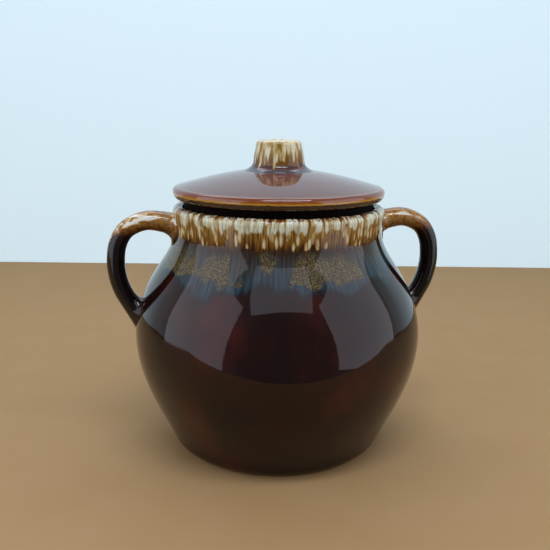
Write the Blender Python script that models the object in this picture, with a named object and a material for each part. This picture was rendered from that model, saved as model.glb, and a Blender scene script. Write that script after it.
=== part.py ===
"""A lidded stoneware tureen with two loop handles, modelled at its real size in metres, +Z up.

The origin is the centre of the foot, on the table. The handles lie along X.
The pieces are the clay parts that are formed one by one: the pot, two handles, and the lid's dome, knob and
seat ring. The lid only rests in the mouth and lifts straight off.
"""

import math

import bmesh
import bpy
from mathutils import Matrix, Vector

MM = 0.001

# Joints and smoothness
JOIN_GAP = 0.3 * MM  # between two clay parts that touch
LID_PLAY = 0.8 * MM  # side play of the seat ring in the mouth
TURN_SEGMENTS = 56  # facets round a turned piece
KNOB_SEGMENTS = 40
CURVE_STEPS = 8  # points along one long curve of an outline
CORNER_STEPS = 3  # points round one small corner
OVERRUN = 4 * MM  # how far a cutter passes what it cuts
MERGE_DISTANCE = 0.001 * MM
SHARP_ANGLE = math.radians(40)
FULL_TURN = math.radians(360)

# Pot
POT_HEIGHT = 142 * MM  # table to the crest of the lip
BELLY_RADIUS = 84 * MM
BELLY_HEIGHT = 67 * MM
NECK_RADIUS = 60.3 * MM
COLLAR_HEIGHT = 15 * MM  # narrowest point of the neck to the crest of the lip
LIP_FLARE = 0.7 * MM  # how far the lip stands outside the neck
LIP_WALL = 5.6 * MM
LIP_OUTER_ROUND = 3.2 * MM
LIP_INNER_ROUND = 1.4 * MM
LEDGE_DEPTH = 7 * MM  # crest of the lip to the ledge that carries the lid
LEDGE_WIDTH = 4.8 * MM
LEDGE_THICKNESS = 4 * MM
THROAT_ROUND = 1.2 * MM
WALL = 6 * MM
FLOOR_THICKNESS = 7 * MM
FOOT_RADIUS = 58.2 * MM
FOOT_RING_WIDTH = 6 * MM
FOOT_RING_DEPTH = 2.2 * MM
HEEL_HEIGHT = 6 * MM
HEEL_SWELL = 5.3 * MM  # how far the wall stands outside the foot at the top of the heel
INNER_HEEL_ROUND = 16 * MM
HEEL_TURN_SHARE = 0.45  # how far the heel keeps to its two end directions
LEAN_SHARE = 0.27  # of the way out from heel to belly, along which the lower wall starts
RISE_SHARE = 0.23  # of the way up from heel to belly, at the same place
BELLY_FULL_BELOW_SHARE = 0.42  # of the height from heel to belly
BELLY_FULL_ABOVE_SHARE = 0.5  # of the height from belly to neck
NECK_EASE_SHARE = 0.23  # of the height from belly to neck

# Handles
HANDLE_OVERHANG = 14.9 * MM  # outer side of a handle beyond the belly
HANDLE_DROP = 3 * MM  # crest of the lip down to the top of a handle
HANDLE_THICKNESS = 10.3 * MM
HANDLE_WIDTH = 12.5 * MM
HANDLE_ROOT_RISE = 12.5 * MM  # middle of the lower root above the widest line of the belly
HANDLE_SINK = 9 * MM  # how far the uncut clay runs into the wall
HANDLE_STEPS = 26
HANDLE_SIDES = 16
TOP_FLARE_SHARE = 0.75  # extra thickness where a handle leaves the collar
TOP_FLARE_REACH_SHARE = 0.45  # of the handle's length
ROOT_FLARE_SHARE = 0.3  # the same where it meets the belly
ROOT_FLARE_REACH_SHARE = 0.2
FLARE_WIDTH_SHARE = 0.6  # of the extra thickness, for the extra width
# The centre line down to the root, as shares of the way from the neck out to the grip, and from top to root
HANDLE_LINE_SHARES = (
    (0.02, 0.05),
    (0.17, 0.02),
    (0.44, 0.00),
    (0.67, 0.04),
    (0.85, 0.12),
    (0.965, 0.26),
    (1.00, 0.43),
    (0.98, 0.58),
    (0.91, 0.73),
    (0.80, 0.86),
)

# Lid
LID_INSET = 0.1 * MM  # how far the lid's edge lies inside the lip's outer side
LID_LIFT = 4.3 * MM  # crest of the lip up to the underside of the lid's edge
LID_EDGE_HEIGHT = 4 * MM  # underside of the edge to its widest line
LID_RISE = 12.8 * MM  # widest line to the middle of the dome
LID_EDGE_DROP = 2.6 * MM  # top of the rounded edge down to its widest line
LID_WALL = 5.5 * MM
DOME_FLAT_SHARE = 0.33  # of the radius
DOME_SLOPE = 0.3  # fall of the dome beside its rounded edge
EDGE_TUCK = 2.6 * MM  # how far the edge's underside lies inside its widest line
LANDING_LIFT = 0.4 * MM  # the flat that carries the seat ring lies this much above the edge's underside
LANDING_MARGIN = 1 * MM
SEAT_RING_WALL = 4.2 * MM
SEAT_RING_ROUND = 0.9 * MM

# Knob
KNOB_HEIGHT = 15.7 * MM  # middle of the dome to the crest of the knob
KNOB_WAIST_RADIUS = 14.4 * MM
KNOB_TAPER = 1.2 * MM  # how far the top lies inside the waist
KNOB_FLARE = 7.6 * MM  # how far the foot stands outside the waist
KNOB_FLARE_HEIGHT = 7 * MM  # from the dome's middle up to where the side starts to flare
KNOB_TOP_ROUND = 2.6 * MM
KNOB_DISH_DEPTH = 1.4 * MM
KNOB_FLARE_SHARE = 0.62

# Places that follow from the sizes
HEEL_RADIUS = FOOT_RADIUS + HEEL_SWELL
FOOT_RING_INNER = FOOT_RADIUS - FOOT_RING_WIDTH
NECK_HEIGHT = POT_HEIGHT - COLLAR_HEIGHT
LIP_RADIUS = NECK_RADIUS + LIP_FLARE
MOUTH_RADIUS = LIP_RADIUS - LIP_WALL
THROAT_RADIUS = MOUTH_RADIUS - LEDGE_WIDTH
LEDGE_HEIGHT = POT_HEIGHT - LEDGE_DEPTH
HANDLE_TOP = POT_HEIGHT - HANDLE_DROP - HANDLE_THICKNESS / 2  # of the centre line
HANDLE_GRIP = BELLY_RADIUS + HANDLE_OVERHANG - HANDLE_THICKNESS / 2  # farthest reach of the centre line
HANDLE_ROOT_HEIGHT = BELLY_HEIGHT + HANDLE_ROOT_RISE
LID_RADIUS = LIP_RADIUS - LID_INSET
LID_BOTTOM = POT_HEIGHT + LID_LIFT
LID_WIDEST = LID_BOTTOM + LID_EDGE_HEIGHT
DOME_TOP = LID_WIDEST + LID_RISE
LANDING_HEIGHT = LID_BOTTOM + LANDING_LIFT
SEAT_RING_OUTER = MOUTH_RADIUS - LID_PLAY
SEAT_RING_INNER = SEAT_RING_OUTER - SEAT_RING_WALL
KNOB_TOP = DOME_TOP + KNOB_HEIGHT
KNOB_TOP_RADIUS = KNOB_WAIST_RADIUS - KNOB_TAPER
KNOB_FOOT_RADIUS = KNOB_WAIST_RADIUS + KNOB_FLARE


def clear_scene():
    for obj in list(bpy.data.objects):
        bpy.data.objects.remove(obj)


def glaze(name, colour, roughness):
    material = bpy.data.materials.new(name)
    material.use_nodes = True
    shader = material.node_tree.nodes["Principled BSDF"]
    shader.inputs["Base Color"].default_value = (*colour, 1)
    shader.inputs["Roughness"].default_value = roughness
    shader.inputs["Metallic"].default_value = 0
    material.diffuse_color = (*colour, 1)
    return material


def bezier(start, pull_start, pull_end, end, steps):
    """Points of a cubic curve in (radius, height), both ends included."""
    points = []
    for i in range(steps + 1):
        t = i / steps
        s = 1 - t
        weights = (s * s * s, 3 * s * s * t, 3 * s * t * t, t * t * t)
        corners = (start, pull_start, pull_end, end)
        radius = sum(w * p[0] for w, p in zip(weights, corners))
        height = sum(w * p[1] for w, p in zip(weights, corners))
        points.append((radius, height))
    return points


def corner(centre, radius_out, radius_up, start_turn, end_turn, steps=CORNER_STEPS):
    """Points round an elliptical corner; turns are in quarter circles from straight out."""
    points = []
    for i in range(steps + 1):
        turn = math.radians(90 * (start_turn + (end_turn - start_turn) * i / steps))
        points.append((centre[0] + radius_out * math.cos(turn), centre[1] + radius_up * math.sin(turn)))
    return points


def heel():
    """Outside of the pot from the foot round into the start of the lower wall."""
    lean = (BELLY_RADIUS - HEEL_RADIUS) * LEAN_SHARE
    rise = (BELLY_HEIGHT - HEEL_HEIGHT) * RISE_SHARE
    reach = HEEL_SWELL * HEEL_TURN_SHARE / math.hypot(lean, rise)
    return bezier(
        (FOOT_RADIUS, 0),
        (FOOT_RADIUS + HEEL_SWELL * HEEL_TURN_SHARE, HEEL_HEIGHT * (1 - HEEL_TURN_SHARE) / 2),
        (HEEL_RADIUS - lean * reach, HEEL_HEIGHT - rise * reach),
        (HEEL_RADIUS, HEEL_HEIGHT),
        CORNER_STEPS,
    )


def lower_wall():
    """Outside of the pot from the heel up to the belly."""
    climb = BELLY_HEIGHT - HEEL_HEIGHT
    return bezier(
        (HEEL_RADIUS, HEEL_HEIGHT),
        (HEEL_RADIUS + (BELLY_RADIUS - HEEL_RADIUS) * LEAN_SHARE, HEEL_HEIGHT + climb * RISE_SHARE),
        (BELLY_RADIUS, BELLY_HEIGHT - climb * BELLY_FULL_BELOW_SHARE),
        (BELLY_RADIUS, BELLY_HEIGHT),
        CURVE_STEPS,
    )


def upper_wall():
    """Outside of the pot from the belly over the shoulder to the neck."""
    climb = NECK_HEIGHT - BELLY_HEIGHT
    return bezier(
        (BELLY_RADIUS, BELLY_HEIGHT),
        (BELLY_RADIUS, BELLY_HEIGHT + climb * BELLY_FULL_ABOVE_SHARE),
        (NECK_RADIUS, NECK_HEIGHT - climb * NECK_EASE_SHARE),
        (NECK_RADIUS, NECK_HEIGHT),
        CURVE_STEPS,
    )


def outer_wall():
    """The whole outside of the pot, from the foot to the crest of the lip."""
    lip = corner(
        (LIP_RADIUS - LIP_OUTER_ROUND, POT_HEIGHT - LIP_OUTER_ROUND), LIP_OUTER_ROUND, LIP_OUTER_ROUND, 0, 1
    )
    return heel() + lower_wall()[1:] + upper_wall()[1:] + lip


def level_between(points, place, along, across):
    """Coordinate across where coordinate along equals place, on the straight runs between the points."""
    for start, end in zip(points, points[1:]):
        if min(start[along], end[along]) <= place <= max(start[along], end[along]):
            share = (place - start[along]) / (end[along] - start[along])
            return start[across] + (end[across] - start[across]) * share
    return points[-1][across]


def wall_radius(height):
    """Outer radius of the pot at this height."""
    return level_between(outer_wall(), height, along=1, across=0)


def offset_inwards(points, distance):
    """The points moved square to their own curve, towards the axis."""
    moved = []
    for i, point in enumerate(points):
        before = points[max(i - 1, 0)]
        after = points[min(i + 1, len(points) - 1)]
        run = (after[0] - before[0], after[1] - before[1])
        length = math.hypot(*run)
        moved.append((point[0] - distance * run[1] / length, point[1] + distance * run[0] / length))
    return moved


def inner_wall():
    """The inside of the pot from under the ledge down to the floor's rounded corner."""
    wall = offset_inwards(lower_wall() + upper_wall()[1:], WALL)
    lowest = FLOOR_THICKNESS + INNER_HEEL_ROUND
    highest = LEDGE_HEIGHT - LEDGE_THICKNESS - WALL
    return [p for p in reversed(wall) if lowest < p[1] < highest]


def pot_outline():
    """Closed half section of the pot, from the middle of its underside round to the middle of its floor."""
    recess_edge = (FOOT_RING_INNER - FOOT_RING_DEPTH, FOOT_RING_DEPTH)
    recess = [(0, FOOT_RING_DEPTH), recess_edge, (FOOT_RING_INNER, 0)]
    mouth = corner(
        (MOUTH_RADIUS + LIP_INNER_ROUND, POT_HEIGHT - LIP_INNER_ROUND), LIP_INNER_ROUND, LIP_INNER_ROUND, 1, 2
    )
    ledge = [(MOUTH_RADIUS, LEDGE_HEIGHT)]
    throat = corner(
        (THROAT_RADIUS + THROAT_ROUND, LEDGE_HEIGHT - THROAT_ROUND), THROAT_ROUND, THROAT_ROUND, 1, 2
    )
    under_ledge = [(THROAT_RADIUS, LEDGE_HEIGHT - LEDGE_THICKNESS)]
    wall = inner_wall()
    corner_middle = (wall[-1][0] - INNER_HEEL_ROUND, FLOOR_THICKNESS + INNER_HEEL_ROUND)
    floor_corner = corner(corner_middle, INNER_HEEL_ROUND, INNER_HEEL_ROUND, 0, -1)
    floor = [(0, FLOOR_THICKNESS)]
    return recess + outer_wall() + mouth + ledge + throat + under_ledge + wall + floor_corner + floor


def dome_curve():
    """Top of the lid from its middle to the start of its rounded edge."""
    shoulder = (LID_RADIUS - EDGE_TUCK, LID_WIDEST + LID_EDGE_DROP)
    pull = shoulder[0] * DOME_FLAT_SHARE
    shoulder_pull = (shoulder[0] - pull, shoulder[1] + pull * DOME_SLOPE)
    return bezier((0, DOME_TOP), (pull, DOME_TOP), shoulder_pull, shoulder, CURVE_STEPS)


def dome_underside():
    """Inside of the dome, from the seat ring's landing up to the middle."""
    inside = offset_inwards([(r, z) for r, z in reversed(dome_curve())], LID_WALL)
    within = [p for p in inside if 0 < p[0] < SEAT_RING_INNER - LANDING_MARGIN - LID_WALL]
    return within + [(0, DOME_TOP - LID_WALL)]


def dome_outline():
    """Closed half section of the lid's dome, whose edge tucks under to a flat landing for the seat ring."""
    edge_middle = (LID_RADIUS - EDGE_TUCK, LID_WIDEST)
    edge_top = corner(edge_middle, EDGE_TUCK, LID_EDGE_DROP, 1, 0)[1:]
    edge_bottom = corner(edge_middle, EDGE_TUCK, LID_EDGE_HEIGHT, 0, -1)[1:]
    landing = [
        (SEAT_RING_OUTER + LANDING_MARGIN, LANDING_HEIGHT),
        (SEAT_RING_INNER - LANDING_MARGIN, LANDING_HEIGHT),
    ]
    return dome_curve() + edge_top + edge_bottom + landing + dome_underside()


def seat_ring_outline():
    """Closed section of the ring under the lid, which drops into the mouth and stands on the ledge."""
    foot = LEDGE_HEIGHT + JOIN_GAP
    top = LANDING_HEIGHT - JOIN_GAP
    rounding = SEAT_RING_ROUND
    outer = corner((SEAT_RING_OUTER - rounding, foot + rounding), rounding, rounding, -1, 0)
    inner = corner((SEAT_RING_INNER + rounding, foot + rounding), rounding, rounding, 2, 3)
    return [*outer, (SEAT_RING_OUTER, top), (SEAT_RING_INNER, top), *inner]


def knob_outline():
    """Closed half section of the knob: a drum with a dished top and a flared foot that follows the dome."""
    dish = corner((0, KNOB_TOP), KNOB_TOP_RADIUS - KNOB_TOP_ROUND, KNOB_DISH_DEPTH, -1, 0)
    shoulder = corner(
        (KNOB_TOP_RADIUS - KNOB_TOP_ROUND, KNOB_TOP - KNOB_TOP_ROUND), KNOB_TOP_ROUND, KNOB_TOP_ROUND, 1, 0
    )
    foot_height = level_between(dome_curve(), KNOB_FOOT_RADIUS, along=0, across=1) + JOIN_GAP
    seat = [(r, z + JOIN_GAP) for r, z in reversed(dome_curve()) if r < KNOB_FOOT_RADIUS]
    flare_top = DOME_TOP + KNOB_FLARE_HEIGHT
    flare = bezier(
        (KNOB_WAIST_RADIUS, flare_top),
        (KNOB_WAIST_RADIUS, flare_top - (flare_top - foot_height) * KNOB_FLARE_SHARE),
        (KNOB_FOOT_RADIUS - KNOB_FLARE * KNOB_FLARE_SHARE, foot_height + JOIN_GAP),
        (KNOB_FOOT_RADIUS, foot_height),
        CURVE_STEPS,
    )
    return dish + shoulder[1:] + flare + seat


def turned(name, outline, material, segments=TURN_SEGMENTS):
    """A solid made by turning a closed outline of (radius, height) round the vertical axis."""
    form = bmesh.new()
    corners = [form.verts.new((radius, 0, height)) for radius, height in outline]
    ring = corners + [corners[0]] if outline[0][0] > 0 or outline[-1][0] > 0 else corners
    edges = [form.edges.new(pair) for pair in zip(ring, ring[1:])]
    bmesh.ops.spin(
        form,
        geom=corners + edges,
        cent=(0, 0, 0),
        axis=(0, 0, 1),
        angle=FULL_TURN,
        steps=segments,
        use_merge=True,
    )
    bmesh.ops.remove_doubles(form, verts=form.verts, dist=MERGE_DISTANCE)
    bmesh.ops.recalc_face_normals(form, faces=form.faces)
    return finished(name, form, material)


def finished(name, form, material):
    mesh = bpy.data.meshes.new(name)
    form.to_mesh(mesh)
    form.free()
    mesh.shade_smooth()
    mesh.set_sharp_from_angle(angle=SHARP_ANGLE)
    mesh.materials.append(material)
    obj = bpy.data.objects.new(name, mesh)
    bpy.context.collection.objects.link(obj)
    return obj


def smooth_line(points, steps):
    """Points on a smooth curve through the given ones, evenly spaced in its parameter."""
    padded = [2 * points[0] - points[1], *points, 2 * points[-1] - points[-2]]
    line = []
    spans = len(points) - 1
    for i in range(steps + 1):
        place = i / steps * spans
        k = min(int(place), spans - 1)
        t = place - k
        a, b, c, d = padded[k : k + 4]
        bend = 2 * a - 5 * b + 4 * c - d
        twist = 3 * b - a - 3 * c + d
        line.append((2 * b + (c - a) * t + bend * t * t + twist * t * t * t) / 2)
    return line


def handle_line():
    """Centre line of the right handle in the XZ plane, both ends sunk into the wall."""
    out = HANDLE_GRIP - NECK_RADIUS
    down = HANDLE_TOP - HANDLE_ROOT_HEIGHT
    points = [Vector((NECK_RADIUS + out * a, 0, HANDLE_TOP - down * b)) for a, b in HANDLE_LINE_SHARES]
    points.append(Vector((wall_radius(HANDLE_ROOT_HEIGHT), 0, HANDLE_ROOT_HEIGHT)))
    first = points[0] + (points[0] - points[1]).normalized() * HANDLE_SINK
    last = points[-1] + (points[-1] - points[-2]).normalized() * HANDLE_SINK
    return smooth_line([first, *points, last], HANDLE_STEPS)


def flare_at(share):
    """Extra thickness at this share of the handle's length, measured from the collar."""
    top = TOP_FLARE_SHARE * max(0, 1 - share / TOP_FLARE_REACH_SHARE) ** 2
    root = ROOT_FLARE_SHARE * max(0, 1 - (1 - share) / ROOT_FLARE_REACH_SHARE) ** 2
    return top + root


def handle(name, side, material, cutter):
    """A handle bent from the collar to the belly and cut to the wall; side is 1 for +X and -1 for -X."""
    line = handle_line()
    form = bmesh.new()
    rings = []
    for i, centre in enumerate(line):
        forward = (line[min(i + 1, len(line) - 1)] - line[max(i - 1, 0)]).normalized()
        outward = Vector((0, 1, 0)).cross(forward)
        flare = flare_at(i / (len(line) - 1))
        thick = outward * (HANDLE_THICKNESS / 2 * (1 + flare))
        wide = Vector((0, HANDLE_WIDTH / 2 * (1 + flare * FLARE_WIDTH_SHARE), 0))
        ring = []
        for k in range(HANDLE_SIDES):
            turn = FULL_TURN * k / HANDLE_SIDES
            ring.append(form.verts.new(centre + thick * math.cos(turn) + wide * math.sin(turn)))
        rings.append(ring)
    for ring, after in zip(rings, rings[1:]):
        for k in range(HANDLE_SIDES):
            n = (k + 1) % HANDLE_SIDES
            form.faces.new((ring[k], ring[n], after[n], after[k]))
    form.faces.new(reversed(rings[0]))
    form.faces.new(rings[-1])
    if side < 0:
        form.transform(Matrix.Rotation(FULL_TURN / 2, 4, "Z"))
    bmesh.ops.recalc_face_normals(form, faces=form.faces)
    obj = finished(name, form, material)
    cut = obj.modifiers.new("cut to the wall", "BOOLEAN")
    cut.operation = "DIFFERENCE"
    cut.object = cutter
    return obj


def wall_cutter():
    """The pot's outside grown by the joint's gap, solid inside, which trims both handles."""
    grown = offset_inwards(outer_wall(), -JOIN_GAP)
    top = POT_HEIGHT + OVERRUN
    outline = [(0, -OVERRUN), (FOOT_RADIUS, -OVERRUN), *grown, (grown[-1][0], top), (0, top)]
    obj = turned("wall_cutter", outline, None)
    obj.hide_render = True
    obj.display_type = "WIRE"
    return obj


def build():
    clear_scene()
    dark_glaze = glaze("dark brown glaze", (0.030, 0.012, 0.008), 0.12)
    handle_glaze = glaze("brown glaze with a cream run", (0.070, 0.030, 0.014), 0.14)
    lid_glaze = glaze("red brown glaze", (0.110, 0.038, 0.022), 0.12)
    cream_glaze = glaze("cream drip glaze", (0.480, 0.360, 0.180), 0.18)
    turned("pot_body", pot_outline(), dark_glaze)
    cutter = wall_cutter()
    handle("right_handle", 1, handle_glaze, cutter)
    handle("left_handle", -1, handle_glaze, cutter)
    turned("lid_dome", dome_outline(), lid_glaze)
    turned("lid_seat_ring", seat_ring_outline(), lid_glaze)
    turned("lid_knob", knob_outline(), cream_glaze, KNOB_SEGMENTS)


build()
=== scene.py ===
# %% [markdown]
# # A drip-glazed soup tureen
# This file dresses a stoneware soup tureen with a lift-off lid. The solids that it stands around are made
# elsewhere and never move. Here they get their smooth skins, their glazes, a camera and soft light.
# Each step starts with a few words on what the real piece is, how it could be made, and why it is made this way.

# %% The frame
import math

import bpy
from mathutils import Euler, Matrix, Vector


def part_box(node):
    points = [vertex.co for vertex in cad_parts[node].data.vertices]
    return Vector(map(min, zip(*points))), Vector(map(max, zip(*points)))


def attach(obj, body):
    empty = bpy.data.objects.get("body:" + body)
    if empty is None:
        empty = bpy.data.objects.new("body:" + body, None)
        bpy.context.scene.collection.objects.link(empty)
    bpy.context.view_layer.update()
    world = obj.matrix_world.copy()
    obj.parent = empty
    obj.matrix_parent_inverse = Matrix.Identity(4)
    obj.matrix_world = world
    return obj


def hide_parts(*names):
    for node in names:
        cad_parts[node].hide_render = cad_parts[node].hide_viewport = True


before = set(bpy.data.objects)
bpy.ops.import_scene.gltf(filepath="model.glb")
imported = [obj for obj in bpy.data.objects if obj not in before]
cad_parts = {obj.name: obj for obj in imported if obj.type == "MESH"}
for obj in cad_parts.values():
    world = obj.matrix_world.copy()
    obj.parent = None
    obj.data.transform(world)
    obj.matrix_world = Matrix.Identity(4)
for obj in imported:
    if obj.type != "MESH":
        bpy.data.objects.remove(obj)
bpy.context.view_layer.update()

# %% [markdown]
# Blender and the solids use metres, but a potter thinks in millimetres, so the sections below are written in
# millimetres and turned to metres when a mesh is made. The solids' boxes show what the skins have to fit.

# %% Sizes
MM = 0.001
pot_low, pot_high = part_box("pot_body")

BELLY_RADIUS = pot_high.x
POT_HEIGHT = pot_high.z
print("belly %.0f mm wide, pot %.0f mm high" % (2 * BELLY_RADIUS / MM, POT_HEIGHT / MM))

# %% [markdown]
# ## The camera
# The photograph is taken from close by, a little above the lid, and from slightly left of the front, so the
# left handle comes nearer. The lens and the place were worked out from the ellipses of the rim and the foot.

# %% Camera
CAMERA_DISTANCE = 417 * MM  # from the pot's axis, measured level
CAMERA_HEIGHT = 198 * MM
CAMERA_PITCH = math.radians(13.26)  # looking down
CAMERA_SWING = math.radians(10)  # round the pot, towards its left handle
CAMERA_AIM = math.radians(0.215)  # to the left of the axis
CAMERA_ROLL = math.radians(0.6)
SENSOR_WIDTH = 36
LENS = 47.1


def make_camera():
    """Creates the camera at the photograph's place and makes it the scene's own."""
    camera = bpy.data.objects.new("camera", bpy.data.cameras.new("camera"))
    bpy.context.scene.collection.objects.link(camera)
    camera.data.sensor_width = SENSOR_WIDTH
    camera.data.lens = LENS
    camera.data.clip_start = 10 * MM
    away = Vector((-math.sin(CAMERA_SWING), -math.cos(CAMERA_SWING), 0)) * CAMERA_DISTANCE
    camera.location = away + Vector((0, 0, CAMERA_HEIGHT))
    turn = Euler((math.pi / 2 - CAMERA_PITCH, 0, CAMERA_AIM - CAMERA_SWING)).to_matrix()
    camera.rotation_euler = (turn @ Matrix.Rotation(CAMERA_ROLL, 3, "Z")).to_euler()
    bpy.context.scene.camera = camera
    return camera


camera = make_camera()
print("camera at", [round(c, 3) for c in camera.location])

# %% [markdown]
# ## Building node trees
# Both the geometry trees and the materials below are chains of nodes. One small function adds any node, sets
# its options and its inputs, and links whatever is handed over as a socket.

# %% Node helper
def add(tree, kind, inputs=None, stops=None, **settings):
    """Adds a node; inputs hold a value, or a socket or node to link, and stops fill a colour ramp."""
    node = tree.nodes.new(kind)
    for name, value in settings.items():
        setattr(node, name, value)
    for key, value in (inputs or {}).items():
        if isinstance(value, bpy.types.Node):
            value = next(socket for socket in value.outputs if socket.enabled)
        if isinstance(value, bpy.types.NodeSocket):
            tree.links.new(value, node.inputs[key])
        else:
            node.inputs[key].default_value = value
    for i, (position, hex_colour) in enumerate(stops or ()):
        ramp = node.color_ramp.elements
        stop = ramp[i] if i < 2 else ramp.new(position)
        stop.position, stop.color = position, linear(hex_colour)
    return node


def linear(hex_colour):
    """The linear colour that shows as this sRGB hex value."""
    channels = [int(hex_colour[i : i + 2], 16) / 255 for i in (1, 3, 5)]
    return tuple(c / 12.92 if c <= 0.04045 else ((c + 0.055) / 1.055) ** 2.4 for c in channels) + (1,)


print("cream glaze is", [round(c, 3) for c in linear("#e3dcc0")])

# %% [markdown]
# ## Half sections
# A pot comes off the wheel as a turned body, so one half section describes all of it. Each section is a list
# of points (radius, height) in millimetres, made of a few long bends and small rounded corners. Bends and
# corners are sampled finely here, because these are the outlines that the camera sees against the wall.

# %% Bends and corners
def bend(start, pull_start, pull_end, end, steps):
    """Points of a cubic curve, without its first point, so that runs can be joined end to end."""
    points = []
    for i in range(1, steps + 1):
        t = i / steps
        weights = ((1 - t) ** 3, 3 * (1 - t) ** 2 * t, 3 * (1 - t) * t * t, t**3)
        corners = (start, pull_start, pull_end, end)
        points.append(tuple(sum(w * p[axis] for w, p in zip(weights, corners)) for axis in (0, 1)))
    return points


def corner(middle, out, up, start, end, steps):
    """Points round an elliptical corner; start and end are in degrees from straight out."""
    turns = [math.radians(start + (end - start) * i / steps) for i in range(steps + 1)]
    return [(middle[0] + out * math.cos(t), middle[1] + up * math.sin(t)) for t in turns]


def straight(start, end, steps):
    """Points on a straight run, without its first point."""
    return [tuple(a + (b - a) * i / steps for a, b in zip(start, end)) for i in range(1, steps + 1)]


def inset(points, distance):
    """The points moved square to their own curve, towards the axis."""
    moved = []
    for i, (radius, height) in enumerate(points):
        before, after = points[max(i - 1, 0)], points[min(i + 1, len(points) - 1)]
        run = (after[0] - before[0], after[1] - before[1])
        length = math.hypot(*run)
        moved.append((radius - distance * run[1] / length, height + distance * run[0] / length))
    return moved


print("a quarter corner:", [tuple(round(c, 2) for c in p) for p in corner((0, 0), 1, 1, 0, 90, 3)])

# %% [markdown]
# The pot swells from a small foot to a belly less than half way up, draws in over the shoulder, and ends in a
# short upright collar. Inside the mouth a ledge carries the lid. The wall is 6 mm thick, as in thrown stoneware.

# %% The pot's half section
FOOT_RADIUS = 58.2
HEEL = (63.5, 6)
BELLY = (84, 67)  # widest line
NECK = (60.3, 127)
LIP_RADIUS = 61
LIP_CREST = 142
LIP_ROUND = 3.2
MOUTH_RADIUS = 55.4
MOUTH_ROUND = 1.4
LEDGE = 135
LEDGE_ROUND = 0.8
THROAT_RADIUS = 50.6
THROAT_FOOT = 131
THROAT_ROUND = 1.2
WALL = 6
INNER_WALL_TOP = 125
FLOOR = 7
FLOOR_ROUND = 16

foot = (FOOT_RADIUS, 0)
heel = [foot] + bend(foot, (60.6, 1.7), (62.4, 3.5), HEEL, 8)
lower_wall = bend(HEEL, (69.0, 20.0), (BELLY[0], 41.4), BELLY, 52)
upper_wall = bend(BELLY, (BELLY[0], 97), (NECK[0], 113.2), NECK, 60)
lip_start = (LIP_RADIUS, LIP_CREST - LIP_ROUND)
collar = straight(NECK, lip_start, 24)
lip = corner((LIP_RADIUS - LIP_ROUND, lip_start[1]), LIP_ROUND, LIP_ROUND, 0, 90, 10)[1:]
mouth_start = (MOUTH_RADIUS, LIP_CREST - MOUTH_ROUND)
lip += corner((MOUTH_RADIUS + MOUTH_ROUND, mouth_start[1]), MOUTH_ROUND, MOUTH_ROUND, 90, 180, 5)
ledge_start = (MOUTH_RADIUS, LEDGE + LEDGE_ROUND)
ledge = straight(mouth_start, ledge_start, 3)
ledge += corner((MOUTH_RADIUS - LEDGE_ROUND, ledge_start[1]), LEDGE_ROUND, LEDGE_ROUND, 0, -90, 3)[1:]
throat_start = (THROAT_RADIUS, LEDGE - THROAT_ROUND)
throat = corner((THROAT_RADIUS + THROAT_ROUND, throat_start[1]), THROAT_ROUND, THROAT_ROUND, 90, 180, 4)
throat += straight(throat_start, (THROAT_RADIUS, THROAT_FOOT), 2)
floor_start = FLOOR + FLOOR_ROUND
inside = reversed(inset(lower_wall + upper_wall, WALL))
inner_wall = [p for p in inside if floor_start < p[1] < INNER_WALL_TOP][::3]
floor_turn = corner((inner_wall[-1][0] - FLOOR_ROUND, floor_start), FLOOR_ROUND, FLOOR_ROUND, 0, -90, 8)
underside = [(0, 2.2), (30, 2.2), (49.4, 2.2), (50.3, 1.9), (51.8, 0.4), (52.6, 0), (55, 0)]
pot_section = underside + heel + lower_wall + upper_wall + collar + lip + ledge + throat
pot_section += inner_wall + floor_turn + [(20, FLOOR), (0, FLOOR)]
print("pot half section:", len(pot_section), "points")

# %% [markdown]
# The lid is a shallow dome with a full rounded edge. Its underside steps down into a seat ring that drops into
# the mouth and stands on the ledge.

# %% The lid's and the seat ring's half sections
DOME_MIDDLE = 163.1
SHOULDER = (58.3, 152.9)
EDGE_ROUND = 2.6
EDGE_DROP = 4  # the edge is deeper below its widest line than above it
LID_WALL = 5.5
LID_HOLLOW_RADIUS = 43.9

dome = [(0, DOME_MIDDLE)] + bend((0, DOME_MIDDLE), (19.24, DOME_MIDDLE), (39.06, 158.67), SHOULDER, 60)
edge_middle = (SHOULDER[0], SHOULDER[1] - EDGE_ROUND)
edge = corner(edge_middle, EDGE_ROUND, EDGE_ROUND, 90, 0, 10)[1:]
edge += corner(edge_middle, EDGE_ROUND, EDGE_DROP, 0, -90, 12)[1:]
landing = [(57, 146.5), (49.2, 146.7)]
dome_inside = [p for p in inset(dome[::-1], LID_WALL) if 0 < p[0] < LID_HOLLOW_RADIUS][::3]
lid_section = dome + edge + landing + dome_inside + [(0, DOME_MIDDLE - LID_WALL)]
print("lid half section:", len(lid_section), "points")

RING_OUTER = 54.6
RING_INNER = 50.4
RING_TOP = 147.2
RING_FOOT = 135.3
RING_ROUND = 0.9

crown = [(52.5, 147.3)]
turn_height = RING_FOOT + RING_ROUND
ring_section = crown + [(RING_OUTER, RING_TOP)]
ring_section += straight((RING_OUTER, RING_TOP), (RING_OUTER, turn_height), 8)
ring_section += corner((RING_OUTER - RING_ROUND, turn_height), RING_ROUND, RING_ROUND, 0, -90, 4)[1:]
ring_section += corner((RING_INNER + RING_ROUND, turn_height), RING_ROUND, RING_ROUND, 270, 180, 4)
ring_section += straight((RING_INNER, turn_height), (RING_INNER, RING_TOP), 8) + crown
print("seat ring section:", len(ring_section), "points")

# %% [markdown]
# The knob is a short drum with a dished top, drawn out into the dome at its foot, as a potter turns it from one
# lump. Its flare ends a hair below the dome, so that no step shows where the two skins meet.

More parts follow.
